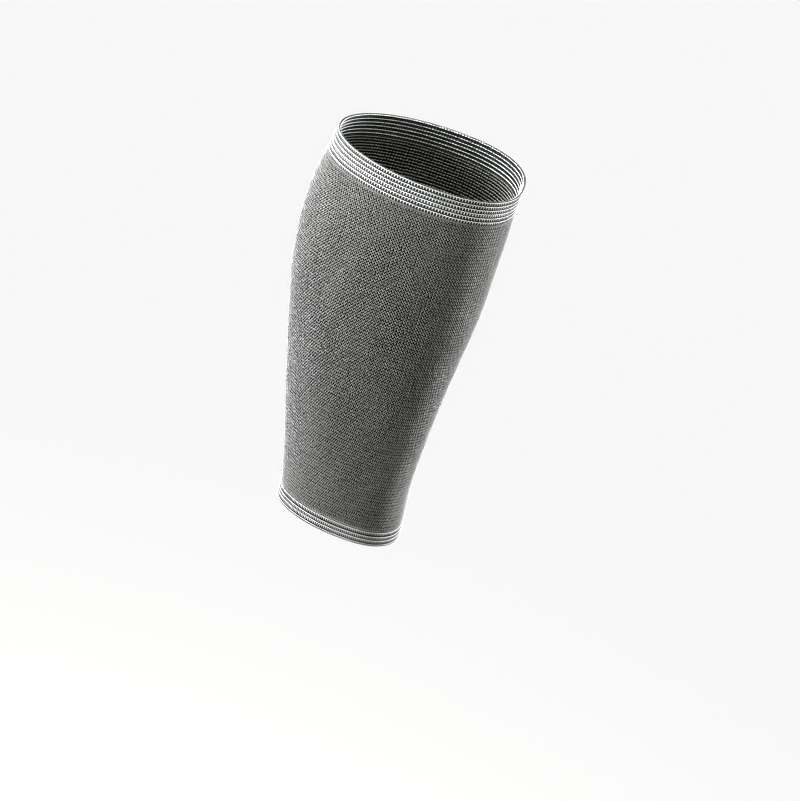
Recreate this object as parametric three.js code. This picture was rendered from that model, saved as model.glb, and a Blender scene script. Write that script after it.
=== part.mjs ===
// Calf support sleeve: a grey knitted elastic tube with a striped elastic border at each end,
// in the form that it takes on a lower leg.
// Millimetres. Z runs up the leg along the shin, +X points forwards to the shin and +Y to one side.
// The origin is the middle of the lower opening, in the plane of its rim.
import * as THREE from 'three';

// Heights along the leg
const LENGTH = 228;
const UPPER_BORDER_HEIGHT = 15.5;
const LOWER_BORDER_HEIGHT = 9.7;
const SEAM_GAP = 0.3;

// Thickness of the fabric
const KNIT_WALL = 1.8;
const BORDER_WALL = 2.2;

// Raised white courses of the borders: their middles, measured from the rim, and their form
const UPPER_COURSES = [0.9, 3.4, 5.8, 8.1, 10.6, 13.1];
const LOWER_COURSES = [1.1, 3.6, 5.9, 8.6];
const COURSE_CREST_WIDTH = 0.8;
const COURSE_FOOT_WIDTH = 1.5;
const COURSE_RELIEF = 0.6;
const RIM_ROUNDING = 0.5;

// The knit draws in beside a border, so that the two are flush on the inside
const KNIT_DRAW_IN = BORDER_WALL - KNIT_WALL;
const DRAW_IN_HEIGHT = 12;

// Outer sections from the lower rim up. front and back are the reach of the shin and calf edges
// from the origin's vertical line, mid is the place along X where a section is widest, and half is
// half of its width there.
const SECTIONS = [
  { z: 0, front: 38.2, back: 38.2, mid: 8, half: 37.6 },
  { z: 10, front: 37.3, back: 38.9, mid: 7, half: 37.6 },
  { z: 28, front: 34.9, back: 43.1, mid: 5, half: 38.5 },
  { z: 57, front: 34.7, back: 51.4, mid: 2.5, half: 41.5 },
  { z: 86, front: 35.7, back: 59.6, mid: 0, half: 46.7 },
  { z: 115, front: 37.6, back: 67.6, mid: -3, half: 52 },
  { z: 145, front: 39.8, back: 74.7, mid: -6, half: 56.2 },
  { z: 181, front: 39.8, back: 78.4, mid: -8.5, half: 58.4 },
  { z: 210, front: 39.4, back: 76, mid: -9.7, half: 57 },
  { z: LENGTH, front: 39.3, back: 73.1, mid: -10, half: 55.4 },
];

// Fullness of a section's corners: 2 is an ellipse, and more is squarer, as over the shin bone
const CALF_FULLNESS = 2;
const SHIN_FULLNESS = 2.4;

// Fineness of the facets
const FACETS_AROUND = 72;
const KNIT_OUTER_ROWS = 22;
const KNIT_INNER_ROWS = 10;

// Heights of the seams between the knit and the borders
const lowerSeam = LOWER_BORDER_HEIGHT;
const upperSeam = LENGTH - UPPER_BORDER_HEIGHT;

const columns = ['front', 'back', 'mid', 'half'];
const sectionSpline = new THREE.CubicInterpolant(
  SECTIONS.map((row) => row.z),
  SECTIONS.flatMap((row) => columns.map((column) => row[column])),
  columns.length,
);

// The point of the wall at height z, in the given direction, depth inside the outer section.
function pointOnWall(z, depth, angle) {
  const [front, back, mid, half] = sectionSpline.evaluate(z);
  const forwards = Math.cos(angle) > 0;
  const reachX = (forwards ? front - mid : back + mid) - depth;
  const reachY = half - depth;
  const fullness = forwards ? SHIN_FULLNESS : CALF_FULLNESS;
  const alongX = Math.abs(Math.cos(angle) / reachX) ** fullness;
  const alongY = Math.abs(Math.sin(angle) / reachY) ** fullness;
  const radius = (alongX + alongY) ** (-1 / fullness);
  return [mid + radius * Math.cos(angle), radius * Math.sin(angle), z];
}

// A tube with open ends, from the loop of its wall: up the outside and down the inside.
function tubeFromWall(wall) {
  const positions = [];
  const index = [];
  wall.forEach(({ z, depth }, row) => {
    const nextRow = (row + 1) % wall.length;
    for (let side = 0; side < FACETS_AROUND; side += 1) {
      const nextSide = (side + 1) % FACETS_AROUND;
      positions.push(...pointOnWall(z, depth, (2 * Math.PI * side) / FACETS_AROUND));
      const here = row * FACETS_AROUND + side;
      const beside = row * FACETS_AROUND + nextSide;
      const above = nextRow * FACETS_AROUND + side;
      const aboveBeside = nextRow * FACETS_AROUND + nextSide;
      index.push(here, beside, aboveBeside, here, aboveBeside, above);
    }
  });
  const tube = new THREE.BufferGeometry();
  tube.setAttribute('position', new THREE.Float32BufferAttribute(positions, 3));
  tube.setIndex(index);
  tube.computeVertexNormals();
  return tube;
}

// Knitted tube between the borders
function knitDepth(z) {
  const fromSeam = Math.min(z - lowerSeam, upperSeam - z);
  return KNIT_DRAW_IN * (1 - THREE.MathUtils.smoothstep(fromSeam, 0, DRAW_IN_HEIGHT));
}

function knitWall() {
  const low = lowerSeam + SEAM_GAP / 2;
  const high = upperSeam - SEAM_GAP / 2;
  const outside = [];
  for (let row = 0; row < KNIT_OUTER_ROWS; row += 1) {
    const z = THREE.MathUtils.lerp(low, high, row / (KNIT_OUTER_ROWS - 1));
    outside.push({ z, depth: knitDepth(z) });
  }
  const inside = [];
  for (let row = 0; row < KNIT_INNER_ROWS; row += 1) {
    const z = THREE.MathUtils.lerp(high, low, row / (KNIT_INNER_ROWS - 1));
    inside.push({ z, depth: knitDepth(z) + KNIT_WALL });
  }
  return [...outside, ...inside];
}

// Ribbed outer face of a border, from its lowest course to its highest
function ribbedFace(courseHeights) {
  const crest = COURSE_CREST_WIDTH / 2;
  const foot = COURSE_FOOT_WIDTH / 2;
  return courseHeights.flatMap((z) => [
    { z: z - foot, depth: COURSE_RELIEF },
    { z: z - crest, depth: 0 },
    { z: z + crest, depth: 0 },
    { z: z + foot, depth: COURSE_RELIEF },
  ]);
}

const rimDepth = (COURSE_RELIEF + BORDER_WALL) / 2;

function upperBorderWall() {
  const low = upperSeam + SEAM_GAP / 2;
  const courseHeights = UPPER_COURSES.map((fromRim) => LENGTH - fromRim).reverse();
  return [
    { z: low, depth: COURSE_RELIEF },
    ...ribbedFace(courseHeights),
    { z: LENGTH, depth: rimDepth },
    { z: LENGTH - RIM_ROUNDING, depth: BORDER_WALL },
    { z: low, depth: BORDER_WALL },
  ];
}

function lowerBorderWall() {
  const high = lowerSeam - SEAM_GAP / 2;
  return [
    { z: 0, depth: rimDepth },
    ...ribbedFace(LOWER_COURSES),
    { z: high, depth: COURSE_RELIEF },
    { z: high, depth: BORDER_WALL },
    { z: RIM_ROUNDING, depth: BORDER_WALL },
  ];
}

function piece(name, wall, material) {
  const mesh = new THREE.Mesh(tubeFromWall(wall), material);
  mesh.name = name;
  return mesh;
}

const greyKnit = new THREE.MeshStandardMaterial({ color: 0x6b6b68, roughness: 0.95, metalness: 0 });
const stripedKnit = new THREE.MeshStandardMaterial({ color: 0xb4b4b0, roughness: 0.92, metalness: 0 });

const sleeve = new THREE.Group();
sleeve.add(
  piece('knit_sleeve', knitWall(), greyKnit),
  piece('upper_border', upperBorderWall(), stripedKnit),
  piece('lower_border', lowerBorderWall(), stripedKnit),
);

export default sleeve;
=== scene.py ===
"""Looks of a knitted calf sleeve: yarn stitches over a dark ground, laid on the walls of the frame."""
import math
from collections import namedtuple

import bpy
import numpy as np
from mathutils import Matrix, Vector
from mathutils.bvhtree import BVHTree


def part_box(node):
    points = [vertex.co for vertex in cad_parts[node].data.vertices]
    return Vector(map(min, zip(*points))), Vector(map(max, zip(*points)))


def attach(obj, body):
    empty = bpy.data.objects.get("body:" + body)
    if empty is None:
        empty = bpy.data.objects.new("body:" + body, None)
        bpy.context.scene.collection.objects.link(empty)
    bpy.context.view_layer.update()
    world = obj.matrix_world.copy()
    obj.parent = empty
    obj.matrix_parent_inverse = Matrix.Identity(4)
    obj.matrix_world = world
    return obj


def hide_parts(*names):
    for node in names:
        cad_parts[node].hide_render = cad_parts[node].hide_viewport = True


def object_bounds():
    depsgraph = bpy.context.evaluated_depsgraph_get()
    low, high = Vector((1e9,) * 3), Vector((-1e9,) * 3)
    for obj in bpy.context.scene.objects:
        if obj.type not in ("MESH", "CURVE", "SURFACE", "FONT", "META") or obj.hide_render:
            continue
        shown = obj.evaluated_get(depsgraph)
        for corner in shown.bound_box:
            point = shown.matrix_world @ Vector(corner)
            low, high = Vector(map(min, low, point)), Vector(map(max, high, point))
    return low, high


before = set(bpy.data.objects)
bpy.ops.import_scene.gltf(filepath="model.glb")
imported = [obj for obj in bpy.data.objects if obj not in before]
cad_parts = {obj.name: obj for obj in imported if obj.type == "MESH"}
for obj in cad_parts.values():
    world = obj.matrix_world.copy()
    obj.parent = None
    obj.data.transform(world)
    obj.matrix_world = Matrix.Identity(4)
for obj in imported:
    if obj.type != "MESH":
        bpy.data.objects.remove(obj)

cad_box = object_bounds()
MM = 0.001
UP = np.array((0.0, 0.0, 1.0))
ONE_SIDE = (1,)
BOTH_SIDES = (1, -1)
SEED = 7
rng = np.random.default_rng(SEED)

# Knit: wales run up the leg, and courses run round it
WALES = 198
KNIT_PATCHES = 4

# One course's height at several heights up the leg, in millimetres
COURSE_PITCH_AT = ((10, 1.98), (60, 2.06), (110, 2.08), (160, 2.02), (212, 1.92))

# Where a stitch lies in its course, in course heights, and how much its place varies, in course
# heights and in wales
STITCH_RISE = 0.25
STITCH_SHIFT = 0.04

# Slow waves in the knit: their size, in wales aside or in millimetres up, their number round the
# leg, and how far they turn from seam to seam, in radians
Wave = namedtuple("Wave", "size round_leg up_leg")
ASIDE_WAVES = (
    Wave(0.22, 5, 9),
    Wave(0.15, 11, -16),
)
RISE_WAVES = (
    Wave(0.20, 6, 14),
    Wave(0.12, 13, -22),
)
# Share of the knit's height, beside each seam, in which the waves fade
WAVE_FADE = 0.125

# Borders: the stations of their grains count heights in this pitch
BORDER_PITCH = 1 * MM
# Dark row of the upper border that has mixed yarn, counted from 0 at the seam
MIXED_ROW = 2
# A course of mixed yarn also lies this far from each seam
SEAM_COURSE_RISE = 0.3 * MM
# Silver feet are left out where they would hang below the lower rim
FOOT_ROOM = 2 * MM

# Tones multiply a yarn's colour: their spread from grain to grain, then the painted shade of a grain's
# ends and of its edges, where it sinks between its neighbours, and the tone of mixed yarn
TONE_SPREAD = 0.12
PAINTED_END_SHADE = 0.7
KNIT_PAINTED_EDGE_SHADE = 0.03
INSIDE_PAINTED_EDGE_SHADE = 0.7
BORDER_PAINTED_EDGE_SHADE = 0.6
MIXED_TONE = 0.4

# Reading of the frame's outer face: the step between rows in the knit, the rays of a row, the
# points kept for each wale, and the distance of the knit's end rows from its seams
SKIN_STEP = 3 * MM
SKIN_RAYS = 360
COLUMNS_PER_WALE = 4
SEAM_INSET = 0.01 * MM

# A border's level is on a raised course if it stands out from the levels near it by half this relief
RIB_RELIEF = 0.6 * MM
RIB_NEIGHBOURHOOD = 1.2 * MM
LEVEL_DIGITS = 6
SAME_LEVEL = 1e-6

# Dark ground, painted shade for the holes between the stitches: its depth under the outer face, its
# thickness, the heights of its rows of faces, and the gaps that a border's ground keeps from the seam
# and from the rim
GROUND_DEPTH = 0.32 * MM
GROUND_THICKNESS = 0.7 * MM
KNIT_GROUND_ROW = 4 * MM
BORDER_GROUND_ROW = 1 * MM
SEAM_GAP = 0.3 * MM
RIM_GAP = 0.5 * MM

# Fibres of the yarn, as noise in its colour and its surface
FIBRE_SCALE = 2600
FIBRE_DETAIL = 3
FIBRE_RANGE = (0.3, 0.7)
FIBRE_SHADES = (0.8, 1.2)
FIBRE_BUMP = 0.5
FIBRE_HEIGHT = 0.06 * MM
YARN_ROUGHNESS = 0.92
YARN_SPECULAR = 0.2
YARN_SHEEN = 0.02
SHEEN_ROUGHNESS = 0.4

# Mottle of the dark ground, which is painted shade for the holes between the stitches
MOTTLE_SCALE = 900
MOTTLE_DETAIL = 4
MOTTLE_RANGE = (0.3, 0.7)
MOTTLE_BUMP = 0.6
MOTTLE_HEIGHT = 0.15 * MM
GROUND_ROUGHNESS = 0.95
GROUND_SPECULAR = 0.05

# Camera, with its sensor in millimetres. Its film filter, in pixels, is narrow, because the photo is
# sharp to the pixel
CAMERA_AIM = Vector((0.0122, 0.0, 0.0790))
CAMERA_DISTANCE = 3.2
CAMERA_ELEVATION = math.radians(21.2)
CAMERA_ROLL = math.radians(19.36)
CAMERA_REACH = 100
VIEW_HEIGHT = 0.4660
SENSOR = 36.0
FILM_FILTER = 1.15

# Floor, far below the sleeve
FLOOR_LEVEL = -1.2
FLOOR_SIZE = 60
FLOOR_COLOUR = (0.85, 0.85, 0.85, 1)

# Studio: its light's strength at the level of the floor and overhead, and the rises of a sight line
# between which it fades from one to the other
SKY_STRENGTH = (0.94, 0.12)
SKY_FADE = (0.02, 0.25)

# Sun, which lights the floor from above
SUN_POWER = 3.02
SUN_PLACE = (0, 0, 3)
SUN_AIM = (0, 0, 0)
SUN_ANGLE = 0.3

# Soft boxes round the sleeve: azimuth 0 stands at the camera and 90 at the shin
LIGHT_AIM = Vector((-0.02, 0, 0.12))
LIGHT_DISTANCE = 1.8
LIGHT_SPREAD = math.radians(30)
Softbox = namedtuple("Softbox", "name azimuth elevation size power tint", defaults=[(1, 1, 1)])
SOFTBOXES = (
    Softbox("calf_side", 270, 20, 0.8, 9.4),
    Softbox("calf_side_front", 292, 15, 0.8, 4.3),
    Softbox("calf_side_back", 250, 20, 0.8, 9.0),
    Softbox("front_fill", 0, 50, 0.8, 2.8, (0.99, 1, 0.82)),
    Softbox("shin_side_back", 135, 20, 0.8, 18.5),
)

# A grain of yarn follows four stations: how far it is aside of the wale's middle, in wales, how far
# up, in course heights, how deep under the outer face, in millimetres, half its width, in wales, half
# its height, in millimetres, and how much it leans away from the wale's middle. The first and the
# last are its tips
Station = namedtuple("Station", "aside rise depth half_width half_height lean", defaults=(0, 0, 0))

# A leg of the knit's V stitch runs up and aside, from the middle of its wale to the wale's edge, and
# its tips sink in
KNIT_LEG = (
    Station(0.03, -0.335, 0.42),
    Station(0.10, 0.065, 0.16, 0.16, 0.12, 0.3),
    Station(0.38, 0.615, 0.18, 0.11, 0.12, 0.5),
    Station(0.48, 0.875, 0.42),
)
# A loop's head on the inside of the knit lies across the wale
KNIT_HEAD = (
    Station(-0.50, -0.20, 1.05),
    Station(-0.17, 0.10, 1.24, 0.20, 0.20),
    Station(0.17, 0.10, 1.24, 0.20, 0.20),
    Station(0.50, -0.20, 1.05),
)
# A border's white course is a row of short V stitches, and a silver foot crosses the dark row below each
WHITE_LEG = (
    Station(0.02, -0.48, 0.34),
    Station(0.12, -0.20, 0.20, 0.11, 0.10),
    Station(0.35, 0.12, 0.18, 0.12, 0.10),
    Station(0.54, 0.30, 0.34),
)
SILVER_FOOT = (
    Station(0.00, -0.10, 0.34),
    Station(0.00, -0.60, 0.26, 0.16, 0.04),
    Station(0.00, -1.35, 0.26, 0.09, 0.04),
    Station(0.00, -1.95, 0.34),
)
# Legs of the dark rows and of the mixed ones
CHARCOAL_LEG = (
    Station(0.16, -0.75, 0.40),
    Station(0.24, -0.25, 0.30, 0.10, 0.08),
    Station(0.36, 0.25, 0.30, 0.10, 0.08),
    Station(0.44, 0.65, 0.40),
)
MIXED_LEG = (
    Station(0.06, -0.70, 0.40),
    Station(0.14, -0.20, 0.24, 0.12, 0.12),
    Station(0.26, 0.25, 0.24, 0.12, 0.12),
    Station(0.34, 0.60, 0.40),
)
# A loop's head on the inside of a border
BORDER_HEAD = (
    Station(-0.50, -0.25, 1.10),
    Station(-0.18, 0.15, 1.32, 0.19, 0.22),
    Station(0.18, 0.15, 1.32, 0.19, 0.22),
    Station(0.50, -0.25, 1.10),
)
# A link of the dark line on a rim, which crosses the wall at a slant: partly a dark edge row of the
# knit, partly painted contact shadow where the rim meets the leg
RIM_LINK = (
    Station(-0.62, -0.40, 0.45),
    Station(-0.20, -0.25, 0.42, 0.26, 0.25),
    Station(0.20, -0.25, 0.62, 0.26, 0.25),
    Station(0.62, -0.40, 0.80),
)

# Corners of a grain: a tip, two rings of three round its middle, and a tip. The base of a ring lies
# below its station by this share of half the grain's height
GRAIN_FACES = np.array([
    (0, 2, 1), (0, 3, 2), (0, 1, 3),
    (1, 2, 5), (1, 5, 4), (2, 3, 6), (2, 6, 5), (3, 1, 4), (3, 4, 6),
    (7, 4, 5), (7, 5, 6), (7, 6, 4),
])
GRAIN_CORNERS = 8
RING_BASE = 0.5


# The sleeve's outer face, read from the frame

def node_points(node):
    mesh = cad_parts[node].data
    places = np.zeros(len(mesh.vertices) * 3)
    mesh.vertices.foreach_get("co", places)
    return places.reshape(-1, 3)


def rib_heights(node):
    """Heights of the middles of a border's raised courses, from the lowest up."""
    points = node_points(node)
    levels = np.unique(np.round(points[:, 2], LEVEL_DIGITS))
    reach = np.array([-points[np.abs(points[:, 2] - z) < SAME_LEVEL, 0].min() for z in levels])
    nearby = np.abs(levels[:, None] - levels) < RIB_NEIGHBOURHOOD
    proudest = np.where(nearby, reach, 0).max(axis=1)
    hollow = np.where(nearby, reach, np.inf).min(axis=1)
    crests = levels[(reach > proudest - RIB_RELIEF / 2) & (reach > hollow + RIB_RELIEF / 2)]
    # Each raised course has two such levels, at the edges of its crest
    return (crests[0::2] + crests[1::2]) / 2


def frame_tree():
    """All the faces of the frame, for rays that come from outside."""
    points, faces = [], []
    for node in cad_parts.values():
        first = len(points)
        points += [vertex.co.copy() for vertex in node.data.vertices]
        faces += [[first + corner for corner in face.vertices] for face in node.data.polygons]
    return BVHTree.FromPolygons(points, faces)


def read_row(tree, z):
    """Points round the outer face at one height, spaced evenly along it from the shin."""
    reach = 2 * (cad_box[1] - cad_box[0]).length
    middle = Vector((0, 0, z))
    points = []
    for angle in np.linspace(0, 2 * math.pi, SKIN_RAYS, endpoint=False):
        out = Vector((math.cos(angle), math.sin(angle), 0))
        points.append(tree.ray_cast(middle + out * reach, -out)[0])
    ring = np.array(points + points[:1])
    steps = np.linalg.norm(np.diff(ring, axis=0), axis=1)
    travelled = np.concatenate([[0], np.cumsum(steps)])
    even = np.linspace(0, travelled[-1], WALES * COLUMNS_PER_WALE, endpoint=False)
    return np.stack([np.interp(even, travelled, ring[:, axis]) for axis in range(3)], axis=1)


lower_ribs = rib_heights("lower_border")
upper_ribs = rib_heights("upper_border")
knit_low, knit_high = (corner.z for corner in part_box("knit_sleeve"))
rim_low, rim_high = cad_box[0].z, cad_box[1].z


def read_skin():
    """Rows of the outer face from rim to rim, with the way out of it at each point."""
    tree = frame_tree()
    knit_rows = round((knit_high - knit_low) / SKIN_STEP)
    knit_heights = np.linspace(knit_low + SEAM_INSET, knit_high - SEAM_INSET, knit_rows)
    heights = np.concatenate([lower_ribs, knit_heights, upper_ribs])
    rows = np.array([read_row(tree, z) for z in heights])
    # The rims themselves carry on the slope of the two courses nearest to them
    rim_rows = []
    for rim, near, far in ((rim_low, 0, 1), (rim_high, -1, -2)):
        share = (rim - heights[near]) / (heights[far] - heights[near])
        rim_rows.append(rows[near] + share * (rows[far] - rows[near]))
    rows = np.concatenate([rim_rows[:1], rows, rim_rows[1:]])
    heights = np.concatenate([[rim_low], heights, [rim_high]])
    along = np.roll(rows, -1, axis=1) - np.roll(rows, 1, axis=1)
    up = np.gradient(rows, heights, axis=0)
    out = np.cross(along, up)
    out /= np.linalg.norm(out, axis=2, keepdims=True)
    return heights, rows, out


skin_heights, skin_rows, skin_out = read_skin()
skin_girths = np.linalg.norm(np.roll(skin_rows, -1, axis=1) - skin_rows, axis=2).sum(axis=1)


def on_skin(wale, height):
    """Points of the outer face and the ways out of it; wale counts round from the shin."""
    columns = WALES * COLUMNS_PER_WALE
    place = np.mod(wale * COLUMNS_PER_WALE, columns)
    left = np.floor(place).astype(int) % columns
    right = (left + 1) % columns
    aside = (place - np.floor(place))[..., None]
    row = np.clip(np.searchsorted(skin_heights, height) - 1, 0, len(skin_heights) - 2)
    span = skin_heights[row + 1] - skin_heights[row]
    rise = ((height - skin_heights[row]) / span)[..., None]

    def between(table):
        low = table[row, left] * (1 - aside) + table[row, right] * aside
        high = table[row + 1, left] * (1 - aside) + table[row + 1, right] * aside
        return low * (1 - rise) + high * rise

    points, out = between(skin_rows), between(skin_out)
    return points, out / np.linalg.norm(out, axis=-1, keepdims=True)


def wale_width_at(height):
    return np.interp(height, skin_heights, skin_girths) / WALES


# Grains of yarn

def yarn_grains(wale, height, pitch, stations, mirror=1, faces_to="outside"):
    """Corners and faces of one grain for each wale and height given."""
    spots, outs = [], []
    for station in stations:
        point, out = on_skin(wale + mirror * station.aside, height + pitch * station.rise)
        spots.append(point - out * station.depth * MM)
        leaning = out + mirror * station.lean * np.cross(UP, out)
        leaning /= np.linalg.norm(leaning, axis=1, keepdims=True)
        ways = {"outside": leaning, "inside": -out, "up": UP + 0 * out, "down": -UP + 0 * out}
        outs.append(ways[faces_to])
    wale_width = wale_width_at(height)[:, None]
    along = spots[-1] - spots[0]
    corners = [spots[0]]
    for ring in (1, 2):
        station, out = stations[ring], outs[ring]
        side = np.cross(out, along)
        side *= wale_width * station.half_width / np.linalg.norm(side, axis=1, keepdims=True)
        lift = out * station.half_height * MM
        base = spots[ring] - lift * RING_BASE
        corners += [base + side, spots[ring] + lift, base - side]
    corners.append(spots[-1])
    corners = np.stack(corners, axis=1)
    first = np.arange(len(corners))[:, None, None] * GRAIN_CORNERS
    return corners.reshape(-1, 3), (GRAIN_FACES[None] + first).reshape(-1, 3)


def joined(parts):
    """Corners and faces of several sets of grains as one set."""
    corners, faces, count = [], [], 0
    for part_corners, part_faces in parts:
        corners.append(part_corners)
        faces.append(part_faces + count)
        count += len(part_corners)
    return np.concatenate(corners), np.concatenate(faces)


def piece_from_arrays(name, corners, faces, material, tone=None):
    """A smooth piece on the root body, with a tone for each corner where it is given; for yarn that tone
    carries painted shade.
    """
    mesh = bpy.data.meshes.new(name)
    mesh.from_pydata(corners.tolist(), [], faces.tolist())
    mesh.polygons.foreach_set("use_smooth", np.ones(len(mesh.polygons), bool))
    mesh.materials.append(material)
    if tone is not None:
        mesh.attributes.new("yarn_tone_and_painted_shade", "FLOAT", "POINT").data.foreach_set("value", tone)
    mesh.update()
    piece = bpy.data.objects.new(name, mesh)
    bpy.context.scene.collection.objects.link(piece)
    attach(piece, "root")
    return piece


def yarn_piece(name, parts, material, painted_edge_shade=BORDER_PAINTED_EDGE_SHADE, tones=1):
    """Joins rows of grains into one piece; each grain is a little lighter or darker than the next, and
    its ends and edges, where it sinks between its neighbours, are darkened with painted shade."""
    corners, faces = joined(parts)
    grains = len(corners) // GRAIN_CORNERS
    tone = rng.normal(1, TONE_SPREAD, grains) * tones
    # Painted shade: a grain's ends and edges are darkened where it sinks between its neighbours
    painted_ring_shades = (painted_edge_shade, 1, painted_edge_shade)
    painted_corner_shades = (PAINTED_END_SHADE, *painted_ring_shades, *painted_ring_shades, PAINTED_END_SHADE)
    return piece_from_arrays(name, corners, faces, material, np.outer(tone, painted_corner_shades).ravel())


# Materials

def new_material(name):
    """A material, with its node tree and its shader."""
    material = bpy.data.materials.new(name)
    material.use_nodes = True
    return material, material.node_tree, material.node_tree.nodes["Principled BSDF"]


def set_inputs(node, values):
    for socket, value in values.items():
        node.inputs[socket].default_value = value


def add_noise(tree, scale, detail):
    """Noise that is fixed to the object."""
    place = tree.nodes.new("ShaderNodeTexCoord")
    noise = tree.nodes.new("ShaderNodeTexNoise")
    set_inputs(noise, {"Scale": scale, "Detail": detail})
    tree.links.new(place.outputs["Object"], noise.inputs["Vector"])
    return noise


def add_bump(tree, noise, strength, height, shader):
    """Lets a noise raise the surface that a shader shows."""
    bump = tree.nodes.new("ShaderNodeBump")
    set_inputs(bump, {"Strength": strength, "Distance": height})
    tree.links.new(noise.outputs["Fac"], bump.inputs["Height"])
    tree.links.new(bump.outputs["Normal"], shader.inputs["Normal"])


def add_map_range(tree, source, source_range, result_range):
    """Carries one range of a value over to another."""
    node = tree.nodes.new("ShaderNodeMapRange")
    set_inputs(node, {
        "From Min": source_range[0],
        "From Max": source_range[1],
        "To Min": result_range[0],
        "To Max": result_range[1],
    })
    tree.links.new(source, node.inputs["Value"])
    return node.outputs["Result"]


def yarn_material(name, colour):
    """Spun yarn: the tone of each stitch with the painted shade of its ends and edges, fine fibres in
    its colour and surface, and a soft sheen.
    """
    material, tree, shader = new_material(name)
    fibres = add_noise(tree, FIBRE_SCALE, FIBRE_DETAIL)
    shade = add_map_range(tree, fibres.outputs["Fac"], FIBRE_RANGE, FIBRE_SHADES)
    # Each corner's tone, with the painted shade of a grain's ends and edges
    tone = tree.nodes.new("ShaderNodeAttribute")
    tone.attribute_name = "yarn_tone_and_painted_shade"
    strength = tree.nodes.new("ShaderNodeMath")
    strength.operation = "MULTIPLY"
    tint = tree.nodes.new("ShaderNodeVectorMath")
    tint.operation = "SCALE"
    tint.inputs[0].default_value = colour
    tree.links.new(shade, strength.inputs[0])
    tree.links.new(tone.outputs["Fac"], strength.inputs[1])
    tree.links.new(strength.outputs["Value"], tint.inputs["Scale"])
    tree.links.new(tint.outputs["Vector"], shader.inputs["Base Color"])
    add_bump(tree, fibres, FIBRE_BUMP, FIBRE_HEIGHT, shader)
    set_inputs(shader, {
        "Roughness": YARN_ROUGHNESS,
        "Specular IOR Level": YARN_SPECULAR,
        "Sheen Weight": YARN_SHEEN,
        "Sheen Roughness": SHEEN_ROUGHNESS,
    })
    return material


def painted_shade_material(name, low, high):
    """A near-black ground behind the stitches, painted shade for the holes between them, finely mottled
    between two colours.
    """
    material, tree, shader = new_material(name)
    mottle = add_noise(tree, MOTTLE_SCALE, MOTTLE_DETAIL)
    ramp = tree.nodes.new("ShaderNodeValToRGB")
    for stop, position, colour in zip(ramp.color_ramp.elements, MOTTLE_RANGE, (low, high)):
        stop.position = position
        stop.color = (*colour, 1)
    tree.links.new(mottle.outputs["Fac"], ramp.inputs["Fac"])
    tree.links.new(ramp.outputs["Color"], shader.inputs["Base Color"])
    add_bump(tree, mottle, MOTTLE_BUMP, MOTTLE_HEIGHT, shader)
    set_inputs(shader, {"Roughness": GROUND_ROUGHNESS, "Specular IOR Level": GROUND_SPECULAR})
    return material


grey_yarn = yarn_material("grey_yarn", (0.22, 0.22, 0.22))
white_yarn = yarn_material("white_yarn", (0.65, 0.675, 0.695))
silver_yarn = yarn_material("silver_yarn", (0.50, 0.52, 0.535))
charcoal_yarn = yarn_material("charcoal_yarn", (0.012, 0.0125, 0.014))
# Near-black ground: painted shade for the holes between the stitches
painted_shade_ground = painted_shade_material("painted_shade_ground", (0.001, 0.001, 0.001), (0.003, 0.003, 0.003))


# Ground walls: near-black, painted shade for the holes between the stitches

def ground_wall(name, node, low, high, row_height):
    """Closed tube of the dark ground, painted shade for the holes between the stitches: up its outside
    and down its inside.
    """
    heights = np.linspace(low, high, 1 + round((high - low) / row_height))
    loop = [(z, GROUND_DEPTH) for z in heights]
    loop += [(z, GROUND_DEPTH + GROUND_THICKNESS) for z in heights[::-1]]
    wale = np.arange(WALES, dtype=float)
    corners = []
    for z, depth in loop:
        point, out = on_skin(wale, np.full(WALES, z))
        corners.append(point - out * depth)
    here = np.arange(len(loop) * WALES).reshape(len(loop), WALES)
    beside = np.roll(here, -1, axis=1)
    above = np.roll(here, -1, axis=0)
    above_beside = np.roll(beside, -1, axis=0)
    faces = np.stack([here, beside, above_beside, above], axis=-1).reshape(-1, 4)
    piece = piece_from_arrays(name, np.concatenate(corners), faces, painted_shade_ground)
    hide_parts(node)
    return piece


knit_ground = ground_wall("knit_ground", "knit_sleeve", knit_low, knit_high, KNIT_GROUND_ROW)
upper_ground = ground_wall("upper_border_ground", "upper_border",
                           knit_high + SEAM_GAP, rim_high - RIM_GAP, BORDER_GROUND_ROW)
lower_ground = ground_wall("lower_border_ground", "lower_border",
                           rim_low + RIM_GAP, knit_low - SEAM_GAP, BORDER_GROUND_ROW)


# Stitches of the knit

def knit_courses():
    """Heights and pitches of the knit's courses, from the lower seam up."""
    at, pitch_at = np.array(COURSE_PITCH_AT).T * MM
    heights = [knit_low]
    while heights[-1] < knit_high:
        heights.append(heights[-1] + np.interp(heights[-1], at, pitch_at))
    # The last course ends at the seam, so all of them shrink a little to end there
    risen = np.array(heights) - knit_low
    heights = knit_low + risen * (knit_high - knit_low) / risen[-1]
    return heights[:-1], np.diff(heights)


def swayed(wale, height):
    """Unevenness of the knit: wales and courses wander in slow waves, less near the seams."""
    share = (height - knit_low) / (knit_high - knit_low)
    calm = np.clip(np.minimum(share, 1 - share) / WAVE_FADE, 0, 1)
    turn = 2 * math.pi * wale / WALES

    def total(waves):
        return sum(wave.size * np.sin(wave.round_leg * turn + wave.up_leg * share) for wave in waves)

    return wale + calm * total(ASIDE_WAVES), height + calm * total(RISE_WAVES) * MM


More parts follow.
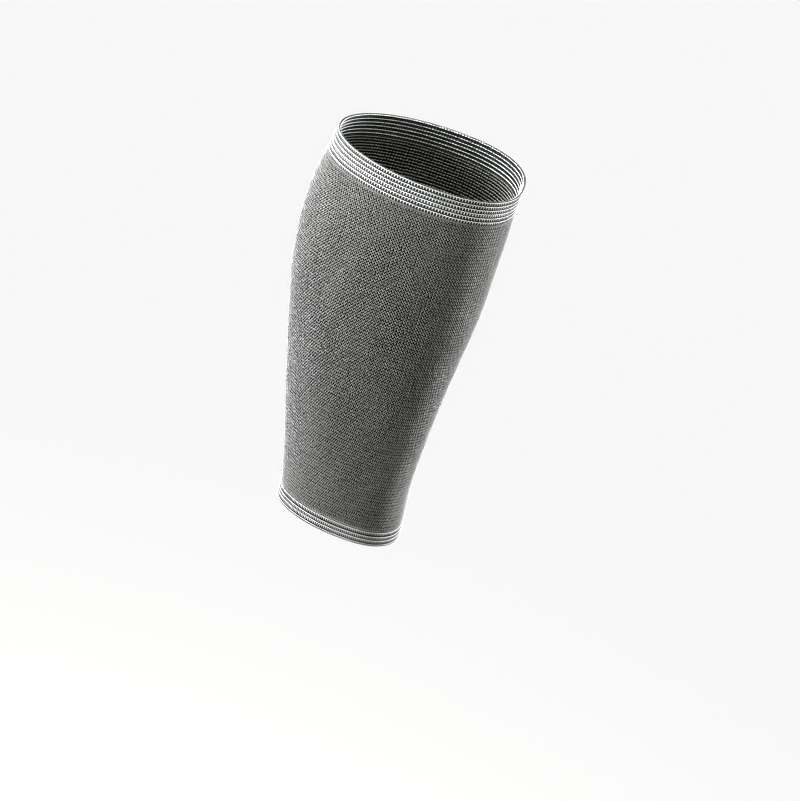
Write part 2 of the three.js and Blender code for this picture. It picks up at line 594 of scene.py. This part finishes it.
def knit_patch(name, wales, sides, stations, painted_edge_shade, **turn):
    """All the courses of some of the wales, with one grain of each stitch for each side given."""
    heights, pitches = knit_courses()
    wale, height = np.meshgrid(wales.astype(float), heights + pitches * STITCH_RISE)
    wale, height = swayed(wale.ravel(), height.ravel())
    pitch = np.repeat(pitches, len(wales))
    parts = []
    for side in sides:
        aside, up = rng.normal(0, STITCH_SHIFT, (2, len(wale)))
        grains = yarn_grains(wale + aside, height + pitch * up, pitch, stations, mirror=side, **turn)
        parts.append(grains)
    return yarn_piece(name, parts, grey_yarn, painted_edge_shade)


# Outer stitches get strong painted shade at their edges, and the heads inside get lighter painted shade
for number, wales in enumerate(np.array_split(np.arange(WALES), KNIT_PATCHES), 1):
    name = f"knit_stitches_{number}"
    knit_patch(name, wales, BOTH_SIDES, KNIT_LEG, KNIT_PAINTED_EDGE_SHADE)
for number, wales in enumerate(np.array_split(np.arange(WALES), KNIT_PATCHES // 2), 1):
    name = f"knit_inside_{number}"
    knit_patch(name, wales, ONE_SIDE, KNIT_HEAD, INSIDE_PAINTED_EDGE_SHADE, faces_to="inside")


# Courses of the borders

def course(z, stations, pitch=BORDER_PITCH, **turn):
    """One grain on every wale at one height."""
    wale = np.arange(WALES, dtype=float)
    return yarn_grains(wale, np.full(WALES, z), np.full(WALES, pitch), stations, **turn)


def v_courses(heights, stations):
    """Both legs of a V stitch on every wale at each height."""
    return [course(z, stations, mirror=side) for z in heights for side in BOTH_SIDES]


def head_courses(heights):
    """A loop's head on the inside of every wale at each height."""
    return [course(z, BORDER_HEAD, faces_to="inside") for z in heights]


def dark_rows(ribs, seam):
    """Heights of the dark rows: between the white courses, and between the last of them and the seam."""
    stops = np.append(ribs, seam) if seam > ribs[0] else np.insert(ribs, 0, seam)
    return (stops[1:] + stops[:-1]) / 2


def border_pieces(name, ribs, seam, rim, rim_faces, mixed_heights):
    """White, dark and silver yarn of one border. The dark yarn also links the rim, partly as a dark edge
    row and partly as painted contact shadow, and the silver is darker in the mixed courses."""
    whites = v_courses(ribs, WHITE_LEG) + head_courses(ribs)
    rows = dark_rows(ribs, seam)
    darks = v_courses(rows, CHARCOAL_LEG) + head_courses(rows)
    link_pitch = BORDER_PITCH if rim_faces == "up" else -BORDER_PITCH
    # The rim's dark line: partly a dark edge row, partly painted contact shadow against the leg
    darks.append(course(rim, RIM_LINK, link_pitch, faces_to=rim_faces))
    feet = [course(z, SILVER_FOOT) for z in ribs if z - FOOT_ROOM > rim_low]
    mixed = v_courses(mixed_heights, MIXED_LEG) + head_courses(mixed_heights)
    silver_tones = np.repeat([1] * len(feet) + [MIXED_TONE] * len(mixed), WALES)
    return [
        yarn_piece(f"{name}_white_courses", whites, white_yarn),
        yarn_piece(f"{name}_dark_courses", darks, charcoal_yarn),
        yarn_piece(f"{name}_silver_feet", feet + mixed, silver_yarn, tones=silver_tones),
    ]


upper_mixed = (dark_rows(upper_ribs, knit_high)[MIXED_ROW], knit_high + SEAM_COURSE_RISE)
lower_mixed = (knit_low - SEAM_COURSE_RISE,)
upper_pieces = border_pieces("upper_border", upper_ribs, knit_high, rim_high, "up", upper_mixed)
lower_pieces = border_pieces("lower_border", lower_ribs, knit_low, rim_low, "down", lower_mixed)


# Floor, light and camera

def add_floor():
    bpy.ops.object.select_all(action="DESELECT")
    bpy.ops.mesh.primitive_plane_add(size=FLOOR_SIZE, location=(0, 0, FLOOR_LEVEL))
    floor = bpy.context.object
    floor.name = "floor"
    material, _, shader = new_material("pale_floor")
    set_inputs(shader, {"Base Color": FLOOR_COLOUR, "Roughness": 1, "Specular IOR Level": 0})
    floor.data.materials.append(material)


def add_light(name, kind, power, place, aim, **settings):
    data = bpy.data.lights.new(name, kind)
    data.energy = power
    for key, value in settings.items():
        setattr(data, key, value)
    light = bpy.data.objects.new(name, data)
    light.location = place
    light.rotation_euler = (Vector(aim) - Vector(place)).to_track_quat("-Z", "Y").to_euler()
    bpy.context.scene.collection.objects.link(light)


def add_softbox(box):
    azimuth, elevation = math.radians(box.azimuth), math.radians(box.elevation)
    level = math.cos(elevation)
    way = Vector((math.sin(azimuth) * level, -math.cos(azimuth) * level, math.sin(elevation)))
    place = LIGHT_AIM + way * LIGHT_DISTANCE
    add_light(box.name, "AREA", box.power, place, LIGHT_AIM,
              color=box.tint, size=box.size, spread=LIGHT_SPREAD)


def add_world():
    """A studio that is pale at the level of the floor and dim overhead."""
    world = bpy.data.worlds.new("studio")
    world.use_nodes = True
    tree = world.node_tree
    background = tree.nodes["Background"]
    place = tree.nodes.new("ShaderNodeTexCoord")
    split = tree.nodes.new("ShaderNodeSeparateXYZ")
    tree.links.new(place.outputs["Generated"], split.inputs["Vector"])
    strength = add_map_range(tree, split.outputs["Z"], SKY_FADE, SKY_STRENGTH)
    tree.links.new(strength, background.inputs["Strength"])
    set_inputs(background, {"Color": (1, 1, 1, 1)})
    bpy.context.scene.world = world


def add_camera():
    data = bpy.data.cameras.new("camera")
    data.sensor_width = SENSOR
    data.lens = SENSOR * CAMERA_DISTANCE / VIEW_HEIGHT
    data.clip_end = CAMERA_REACH
    camera = bpy.data.objects.new("camera", data)
    back = Vector((0, -math.cos(CAMERA_ELEVATION), math.sin(CAMERA_ELEVATION)))
    right = Vector((1, 0, 0))
    up = back.cross(right)
    turned_right = right * math.cos(CAMERA_ROLL) + up * math.sin(CAMERA_ROLL)
    turned_up = up * math.cos(CAMERA_ROLL) - right * math.sin(CAMERA_ROLL)
    turn = Matrix((turned_right, turned_up, back)).transposed().to_4x4()
    camera.matrix_world = Matrix.Translation(CAMERA_AIM + back * CAMERA_DISTANCE) @ turn
    bpy.context.scene.collection.objects.link(camera)
    bpy.context.scene.camera = camera


add_floor()
add_light("sun_on_floor", "SUN", SUN_POWER, SUN_PLACE, SUN_AIM, angle=SUN_ANGLE)
for softbox in SOFTBOXES:
    add_softbox(softbox)
add_world()
add_camera()
bpy.context.scene.cycles.filter_width = FILM_FILTER
bpy.context.scene.view_settings.view_transform = "Standard"
